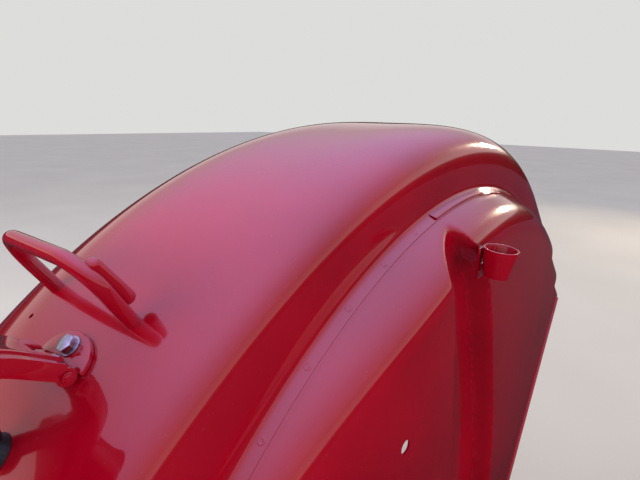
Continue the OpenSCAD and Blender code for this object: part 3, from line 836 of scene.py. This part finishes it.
class MUDGUARD_OT_panel(bpy.types.Operator):
    """Presses the inner panel from a sheet: lap, shelf, shoulders, channel and border"""

    bl_idname = "mudguard.panel"
    bl_label = "Inner panel"

    def execute(self, context):
        c, p = context.scene.crown_sizes, context.scene.panel_sizes
        top = c.seam_radius - c.sheet - GAP
        border = panel_border(c)
        columns = panel_columns(c, top)
        fall = -c.ledge_rise * p.lap / c.ledge_width
        rows = 3 + SHOULDER_ROWS + FIELD_ROWS
        points = []
        start = c.ledge_rise / c.ledge_width
        for seam, inward, share in columns:
            for r_in, x in ((fall, -p.lap), (fall / 2, -p.lap / 2)):
                q = seam + inward * r_in
                points.append(in_row(x, q.x, q.y))
            for j in range(SHOULDER_ROWS + 1):
                d = SHOULDER_DEPTH * (j / SHOULDER_ROWS) ** 1.3
                q = seam + inward * d
                points.append(in_row(panel_height(p, start, q.x, q.y, d), q.x, q.y))
            low = at_length(border, share)
            for j in range(1, FIELD_ROWS + 1):
                at = q.lerp(low, j / FIELD_ROWS)
                points.append(in_row(panel_height(p, start, at.x, at.y, 1.0), at.x, at.y))
        start_clean()
        bpy.ops.mesh.primitive_grid_add(x_subdivisions=rows - 1, y_subdivisions=len(columns) - 1, size=1)
        panel = bpy.context.object
        at_origin(panel)
        place(panel, points)
        outward(panel, merge=0.000001)
        facing = sum(f.normal.x * f.area for f in panel.data.polygons)
        if facing < 0:
            edit(panel)
            bpy.ops.mesh.select_all(action="SELECT")
            bpy.ops.mesh.flip_normals()
            done()
        wall = panel.modifiers.new("Sheet", "SOLIDIFY")
        wall.thickness = c.sheet
        wall.offset = -1.0
        apply_all(panel)
        drill(panel, (in_row(p.rear_bulge, -0.259, 0.440), Vector((1, 0, 0))), p.hole)
        finish_piece(panel, "panel_pressing", "mudguard", "red_enamel", ("inner_panel",), angle=40)
        return {"FINISHED"}


class MUDGUARD_OT_welds(bpy.types.Operator):
    """Presses one spot weld's dimple and copies it along the ledge beside the seam"""

    bl_idname = "mudguard.welds"
    bl_label = "Spot welds"

    def execute(self, context):
        c, f = context.scene.crown_sizes, context.scene.fitting_sizes
        start_clean()
        bpy.ops.mesh.primitive_circle_add(vertices=20, radius=0.0034, fill_type="NGON")
        dimple = bpy.context.object
        edit(dimple)
        bpy.ops.mesh.select_all(action="SELECT")
        for inset, rise in ((0.0006, 0.00030), (0.0007, 0.0), (0.0008, -0.00034)):
            bpy.ops.mesh.inset(thickness=inset)
            bpy.ops.transform.translate(value=(0, 0, rise))
        done()
        wall = dimple.modifiers.new("Sheet", "SOLIDIFY")
        wall.thickness = 0.0005
        wall.offset = -1.0
        apply_all(dimple)
        step = f.weld_pitch / c.seam_radius
        slope = c.ledge_rise / c.ledge_width
        radius = c.seam_radius + 0.0052 * slope + 0.0001
        places = []
        a = c.rear_angle - 0.03
        while a > c.front_angle:
            p = polar(radius, a)
            places.append((in_row(-0.0052, p.x, p.y), Vector((slope, *polar(1, a)))))
            a -= step
        n = polar(1, c.front_angle)
        for i in range(6):
            p = radius * n + (0.03 + i * f.weld_pitch) * Vector((n.y, -n.x))
            places.append((in_row(-0.0052, p.x, p.y), Vector((slope, n.x, n.y))))
        made = []
        for place_of, out in places:
            one = dimple.copy()
            one.data = dimple.data.copy()
            bpy.context.scene.collection.objects.link(one)
            one.matrix_world = Matrix.Translation(place_of) @ out.to_track_quat("Z", "X").to_matrix().to_4x4()
            made.append(one)
        bpy.data.objects.remove(dimple)
        start_clean()
        for one in made:
            one.select_set(True)
        bpy.context.view_layer.objects.active = made[0]
        bpy.ops.object.join()
        welds = bpy.context.object
        at_origin(welds)
        finish_piece(welds, "ledge_spot_welds", "mudguard", "red_enamel", angle=60)
        return {"FINISHED"}


# Fittings.


class MUDGUARD_OT_rail(bpy.types.Operator):
    """Bends the grab rail, and rounds its nuts"""

    bl_idname = "mudguard.rail"
    bl_label = "Grab rail"

    def execute(self, context):
        c, f = context.scene.crown_sizes, context.scene.fitting_sizes
        out = polar(1, RAIL_ANGLE)
        ahead = Vector((out.y, -out.x))

        def at(x, r, forward=0.0):
            return in_row(x, *(r * out + forward * ahead))

        low, high = c.apex_radius - 0.022, c.apex_radius + f.rail_height
        corners = [
            at(RAIL_INNER, low),
            at(RAIL_INNER + 0.002, high, f.rail_forward),
            at(RAIL_OUTER - f.rail_spread, high, f.rail_forward),
            at(RAIL_OUTER, c.apex_radius - 0.004),
            at(RAIL_OUTER, low),
        ]
        path = rounded_path(corners[:4], f.rail_bend) + [corners[4]]
        rail = tube("grab_rail_bar", path, f.rail_bar / 2)
        finish_piece(rail, "grab_rail_bar", "mudguard", "red_enamel", ("grab_rail",), angle=50)
        softened("rail_nuts", "mudguard", "zinc_steel", 0.0006)
        return {"FINISHED"}


class MUDGUARD_OT_strap(bpy.types.Operator):
    """Bends the flat strap laid on the ledge ahead of the channel"""

    bl_idname = "mudguard.strap"
    bl_label = "Ledge strap"

    def execute(self, context):
        c = context.scene.crown_sizes
        slope = c.ledge_rise / c.ledge_width
        width, thick = c.ledge_width - 0.0012, 0.0018
        start_clean()
        bpy.ops.mesh.primitive_circle_add(vertices=4, radius=0.01, fill_type="NGON")
        strap = bpy.context.object
        at_origin(strap)
        low, high = math.radians(88), math.radians(101.5)
        corners = []
        for x, lift in ((-0.0006, 0.0), (-width, 0.0), (-width, thick), (-0.0006, thick)):
            q = (c.seam_radius - slope * x + GAP + lift) * polar(1, low)
            corners.append(in_row(x, q.x, q.y))
        place(strap, corners)
        edit(strap)
        bpy.ops.mesh.select_all(action="SELECT")
        bpy.ops.mesh.spin(steps=27, angle=high - low, center=ARCH_CENTRE, axis=ACROSS)
        done()
        outward(strap)
        bevel = strap.modifiers.new("Rounded", "BEVEL")
        bevel.width = 0.0006
        bevel.segments = 2
        apply_all(strap)
        finish_piece(strap, "ledge_strap_finished", "mudguard", "red_enamel", ("ledge_strap",), angle=40)
        return {"FINISHED"}


class MUDGUARD_OT_fittings(bpy.types.Operator):
    """Rounds the edges of the socket, strap, hinge leaf, brackets and their fasteners"""

    bl_idname = "mudguard.fittings"
    bl_label = "Fittings"

    def execute(self, context):
        for node, slot, width in (
            ("socket", "red_enamel", 0.0006),
            ("socket_strip", "red_enamel", 0.0008),
            ("seat_lug", "red_enamel", 0.0010),
            ("lug_washer", "zinc_steel", 0.0003),
            ("lug_bolt", "zinc_steel", 0.0006),
            ("lug_nut", "zinc_steel", 0.0006),
            ("hinge_pin", "red_enamel", 0.0007),
            ("axle_bracket", "red_enamel", 0.0012),
            ("axle_bolts", "zinc_steel", 0.0008),
            ("axle_nuts", "zinc_steel", 0.0008),
            ("step_bracket", "red_enamel", 0.0012),
            ("step_bolts", "zinc_steel", 0.0008),
            ("step_nuts", "zinc_steel", 0.0008),
        ):
            softened(node, "mudguard", slot, width)
        return {"FINISHED"}


# The seat.


def stuff(obj, pressure=4.0, cap=0.022, frames=20):
    """Blows up a closed cover whose underside is held, and caps how far it moves."""
    rest = [v.co.copy() for v in obj.data.vertices]
    floor = min(v.z for v in rest)
    held = obj.vertex_groups.new(name="held")
    held.add([i for i, v in enumerate(rest) if v.z < floor + 0.004], 1.0, "REPLACE")
    cloth = obj.modifiers.new("Stuffing", "CLOTH")
    cloth.settings.use_pressure = True
    cloth.settings.uniform_pressure_force = pressure
    cloth.settings.effector_weights.gravity = 0.0
    cloth.settings.vertex_group_mass = "held"
    cloth.point_cache.frame_start = 1
    cloth.point_cache.frame_end = frames
    for f in range(1, frames + 1):
        bpy.context.scene.frame_set(f)
    posed = obj.evaluated_get(bpy.context.evaluated_depsgraph_get())
    moved = [v.co.copy() for v in posed.data.vertices]
    obj.modifiers.remove(cloth)
    bpy.context.scene.frame_set(1)
    points = []
    for a, b in zip(rest, moved):
        step = b - a
        if step.length > cap:
            step *= cap / step.length
        p = a + step
        p.z = max(p.z, floor)
        points.append(p)
    place(obj, points)


def rounded_outline(centre, width, depth, radius, z, steps=16):
    points = []
    for sx, sy, start in ((1, 1, 0), (-1, 1, 90), (-1, -1, 180), (1, -1, 270)):
        hub = Vector((centre.x + sx * (width / 2 - radius), centre.y + sy * (depth / 2 - radius)))
        for i in range(steps + 1):
            q = hub + polar(radius, math.radians(start + 90 * i / steps))
            points.append(Vector((q.x, q.y, z)))
    return points


class MUDGUARD_OT_cushion(bpy.types.Operator):
    """Stuffs the seat cushion by cloth simulation and lays piping round its seams"""

    bl_idname = "mudguard.cushion"
    bl_label = "Cushion"

    def execute(self, context):
        f = context.scene.fitting_sizes
        low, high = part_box("seat_cushion")
        low, high = Vector(low), Vector(high)
        centre = (low + high) / 2
        start_clean()
        bpy.ops.mesh.primitive_circle_add(vertices=4 * 17, radius=0.1, fill_type="NGON")
        cover = bpy.context.object
        at_origin(cover)
        width, depth, height = high.x - low.x - 0.012, high.y - low.y - 0.012, high.z - low.z - 0.006
        place(cover, rounded_outline(centre, width, depth, 0.048, low.z + 0.0003))
        edit(cover)
        bpy.ops.mesh.select_all(action="SELECT")
        bpy.ops.mesh.extrude_region_move(TRANSFORM_OT_translate={"value": (0, 0, height)})
        bpy.ops.mesh.inset(thickness=0.012)
        bpy.ops.transform.translate(value=(0, 0, 0.003))
        done()
        outward(cover)
        remesh = cover.modifiers.new("Even", "REMESH")
        remesh.mode = "VOXEL"
        remesh.voxel_size = 0.005
        apply_all(cover)
        stuff(cover)
        points = []
        for v in cover.data.vertices:
            share = Vector(((v.co.x - centre.x) / (width / 2), (v.co.y - centre.y) / (depth / 2)))
            hollow = 0.007 * math.exp(-(share.length_squared) / 0.30) * smooth(low.z, high.z, v.co.z)
            p = v.co - Vector((0, 0, hollow))
            p.z = max(p.z, low.z + 0.0003)
            points.append(p)
        place(cover, points)
        finer = cover.modifiers.new("Finer", "SUBSURF")
        finer.levels = 1
        finer.render_levels = 1
        apply_all(cover)
        rim = self.rim(cover, centre, low.z + 0.62 * (high.z - low.z))
        base = self.rim(cover, centre, low.z + 0.006)
        finish_piece(cover, "seat_cushion_cover", "seat", "black_vinyl", ("seat_cushion",), angle=60)
        for name, path in (("cushion_piping_upper", rim), ("cushion_piping_lower", base)):
            piping = tube(name, path, f.welt / 2, closed=True)
            finish_piece(piping, name, "seat", "black_vinyl", angle=60)
        return {"FINISHED"}

    def rim(self, cover, centre, z):
        """The cover's outline at a height, read from its mesh and smoothed."""
        sectors = 180
        reach = [0.0] * sectors
        for v in cover.data.vertices:
            if abs(v.co.z - z) < 0.0045:
                d = Vector((v.co.x - centre.x, v.co.y - centre.y))
                i = int((math.atan2(d.y, d.x) + math.pi) / math.tau * sectors) % sectors
                reach[i] = max(reach[i], d.length)
        for i in range(sectors):
            if reach[i] == 0.0:
                reach[i] = reach[i - 1]
        for _ in range(3):
            reach = [(reach[i - 1] + 2 * reach[i] + reach[(i + 1) % sectors]) / 4 for i in range(sectors)]
        points = []
        for i in range(sectors):
            q = polar(reach[i] + 0.0004, (i + 0.5) / sectors * math.tau - math.pi)
            points.append(Vector((centre.x + q.x, centre.y + q.y, z)))
        return points


class MUDGUARD_OT_seat(bpy.types.Operator):
    """Rounds the edges of the seat's arm, pan, board, legs and buffers"""

    bl_idname = "mudguard.seat"
    bl_label = "Seat frame"

    def execute(self, context):
        for node, slot, width in (
            ("seat_arm", "red_enamel", 0.0014),
            ("front_buffer", "black_rubber", 0.0012),
            ("buffer_bolt", "zinc_steel", 0.0006),
            ("seat_pan", "red_enamel", 0.0008),
            ("pan_bolts", "zinc_steel", 0.0006),
            ("pan_nuts", "zinc_steel", 0.0006),
            ("seat_board", "plywood", 0.0006),
            ("rear_legs", "red_enamel", 0.0010),
            ("rear_feet", "black_rubber", 0.0014),
        ):
            softened(node, "seat", slot, width)
        return {"FINISHED"}


# The stage, with the camera at the photograph's place and angle.
VIEW_FROM = (0.1584, -0.6072, 0.8236)
VIEW_RIGHT = (0.79275, 0.60906, 0.02392)
VIEW_UP = (-0.17244, 0.18647, 0.96719)
VIEW_BACK = (0.58463, -0.77088, 0.25285)
VIEW_LENS = 26.4955


class MUDGUARD_OT_stage(bpy.types.Operator):
    """Lays the pale floor, sets the soft lights and the camera"""

    bl_idname = "mudguard.stage"
    bl_label = "Stage"

    def execute(self, context):
        start_clean()
        bpy.ops.mesh.primitive_plane_add(size=40, location=(0, 0, packed_box[0].z - 0.0005))
        floor = bpy.context.object
        at_origin(floor)
        floor.name = "studio_floor"
        floor.data.materials.append(MATERIALS["floor"])
        self.lights(context)
        self.surround(context)
        self.camera(context)
        return {"FINISHED"}

    def lights(self, context):
        for name, where, aim, size, power, tint, mirrored in (
            ("sky_panel", (-2.6, 0.4, 3.6), (-0.2, 0.0, 0.4), (4.2, 4.2), 22, "#F3F6FF", False),
            ("inboard_panel", (3.6, -0.6, 2.0), (0.0, 0.0, 0.4), (3.0, 2.2), 54, "#FFF0E8", False),
            ("rear_panel", (-1.8, -3.2, 1.3), (-0.3, -0.2, 0.4), (3.0, 2.0), 105, "#FFF0F0", False),
            ("front_low_sun", (0.6, 5.2, 1.9), (-0.1, 0.2, 0.6), (0.45, 0.35), 40, "#FFE9C8", True),
        ):
            data = bpy.data.lights.new(name, "AREA")
            data.shape = "RECTANGLE"
            data.size, data.size_y = size
            data.energy = power
            data.color = linear(tint)[:3]
            lamp = bpy.data.objects.new(name, data)
            context.scene.collection.objects.link(lamp)
            lamp.location = where
            lamp.rotation_mode = "QUATERNION"
            lamp.rotation_quaternion = (Vector(aim) - Vector(where)).to_track_quat("-Z", "Y")
            lamp.visible_glossy = mirrored

    def surround(self, context):
        """A soft surround: plain behind the object, bright above and dim below in its reflections."""
        world = bpy.data.worlds.new("studio_surround")
        context.scene.world = world
        world.use_nodes = True
        tree = world.node_tree
        tree.nodes.clear()
        direction = add_node(tree, "ShaderNodeTexCoord")
        parts = add_node(tree, "ShaderNodeSeparateXYZ", Vector=(direction, "Generated"))
        mirrored = add_node(tree, "ShaderNodeValToRGB", Fac=(parts, "Z"))
        stops = mirrored.color_ramp
        stops.elements[0].position = 0.0
        stops.elements[0].color = linear("#100C0B")
        stops.elements[1].position = 1.0
        stops.elements[1].color = linear("#BFB1EA")
        for where, code in ((0.09, "#1A1412"), (0.12, "#8A8280"), (0.30, "#746C70"), (0.62, "#9688AE")):
            stops.elements.new(where).color = linear(code)
        sky = add_node(tree, "ShaderNodeBackground", Color=(mirrored, 0), Strength=3.0)
        soft = add_node(tree, "ShaderNodeBackground", Color=linear("#E9EAEE"), Strength=0.75)
        plain = add_node(tree, "ShaderNodeBackground", Color=linear("#DDDDDB"), Strength=1.0)
        seen = add_node(tree, "ShaderNodeLightPath")
        lit = add_node(tree, "ShaderNodeMixShader")
        tree.links.new(seen.outputs["Is Glossy Ray"], lit.inputs[0])
        tree.links.new(soft.outputs[0], lit.inputs[1])
        tree.links.new(sky.outputs[0], lit.inputs[2])
        both = add_node(tree, "ShaderNodeMixShader")
        tree.links.new(seen.outputs["Is Camera Ray"], both.inputs[0])
        tree.links.new(lit.outputs[0], both.inputs[1])
        tree.links.new(plain.outputs[0], both.inputs[2])
        out = add_node(tree, "ShaderNodeOutputWorld")
        tree.links.new(both.outputs[0], out.inputs[0])
        context.scene.view_settings.view_transform = "Standard"

    def camera(self, context):
        data = bpy.data.cameras.new("view")
        data.sensor_width = 36.0
        data.lens = VIEW_LENS
        data.clip_start = 0.02
        data.clip_end = 100.0
        camera = bpy.data.objects.new("view", data)
        context.scene.collection.objects.link(camera)
        turned = Matrix((VIEW_RIGHT, VIEW_UP, VIEW_BACK)).transposed().to_4x4()
        camera.matrix_world = Matrix.Translation(VIEW_FROM) @ turned
        context.scene.camera = camera


# The add-on.

OPERATORS = (
    MUDGUARD_OT_materials,
    MUDGUARD_OT_crown,
    MUDGUARD_OT_panel,
    MUDGUARD_OT_welds,
    MUDGUARD_OT_rail,
    MUDGUARD_OT_strap,
    MUDGUARD_OT_fittings,
    MUDGUARD_OT_seat,
    MUDGUARD_OT_cushion,
    MUDGUARD_OT_stage,
)


class MUDGUARD_PT_panel(bpy.types.Panel):
    """Lists the mudguard's sizes and building steps"""

    bl_idname = "MUDGUARD_PT_panel"
    bl_label = "Tractor mudguard"
    bl_space_type = "VIEW_3D"
    bl_region_type = "UI"
    bl_category = "Mudguard"

    def draw(self, context):
        for group in GROUPS:
            box = self.layout.box()
            values = getattr(context.scene, group)
            for name in values.__annotations__:
                box.prop(values, name)
        for operator in OPERATORS:
            self.layout.operator(operator.bl_idname)


def register():
    for group in GROUPS.values():
        bpy.utils.register_class(group)
    for name, group in GROUPS.items():
        setattr(bpy.types.Scene, name, bpy.props.PointerProperty(type=group))
    for operator in OPERATORS:
        bpy.utils.register_class(operator)
    bpy.utils.register_class(MUDGUARD_PT_panel)


def unregister():
    bpy.utils.unregister_class(MUDGUARD_PT_panel)
    for operator in reversed(OPERATORS):
        bpy.utils.unregister_class(operator)
    for name in GROUPS:
        delattr(bpy.types.Scene, name)
    for group in reversed(list(GROUPS.values())):
        bpy.utils.unregister_class(group)


def main():
    register()
    bpy.ops.mudguard.materials()
    bpy.ops.mudguard.crown()
    bpy.ops.mudguard.panel()
    bpy.ops.mudguard.welds()
    bpy.ops.mudguard.rail()
    bpy.ops.mudguard.strap()
    bpy.ops.mudguard.fittings()
    bpy.ops.mudguard.seat()
    bpy.ops.mudguard.cushion()
    bpy.ops.mudguard.stage()


if __name__ == "__main__":
    main()
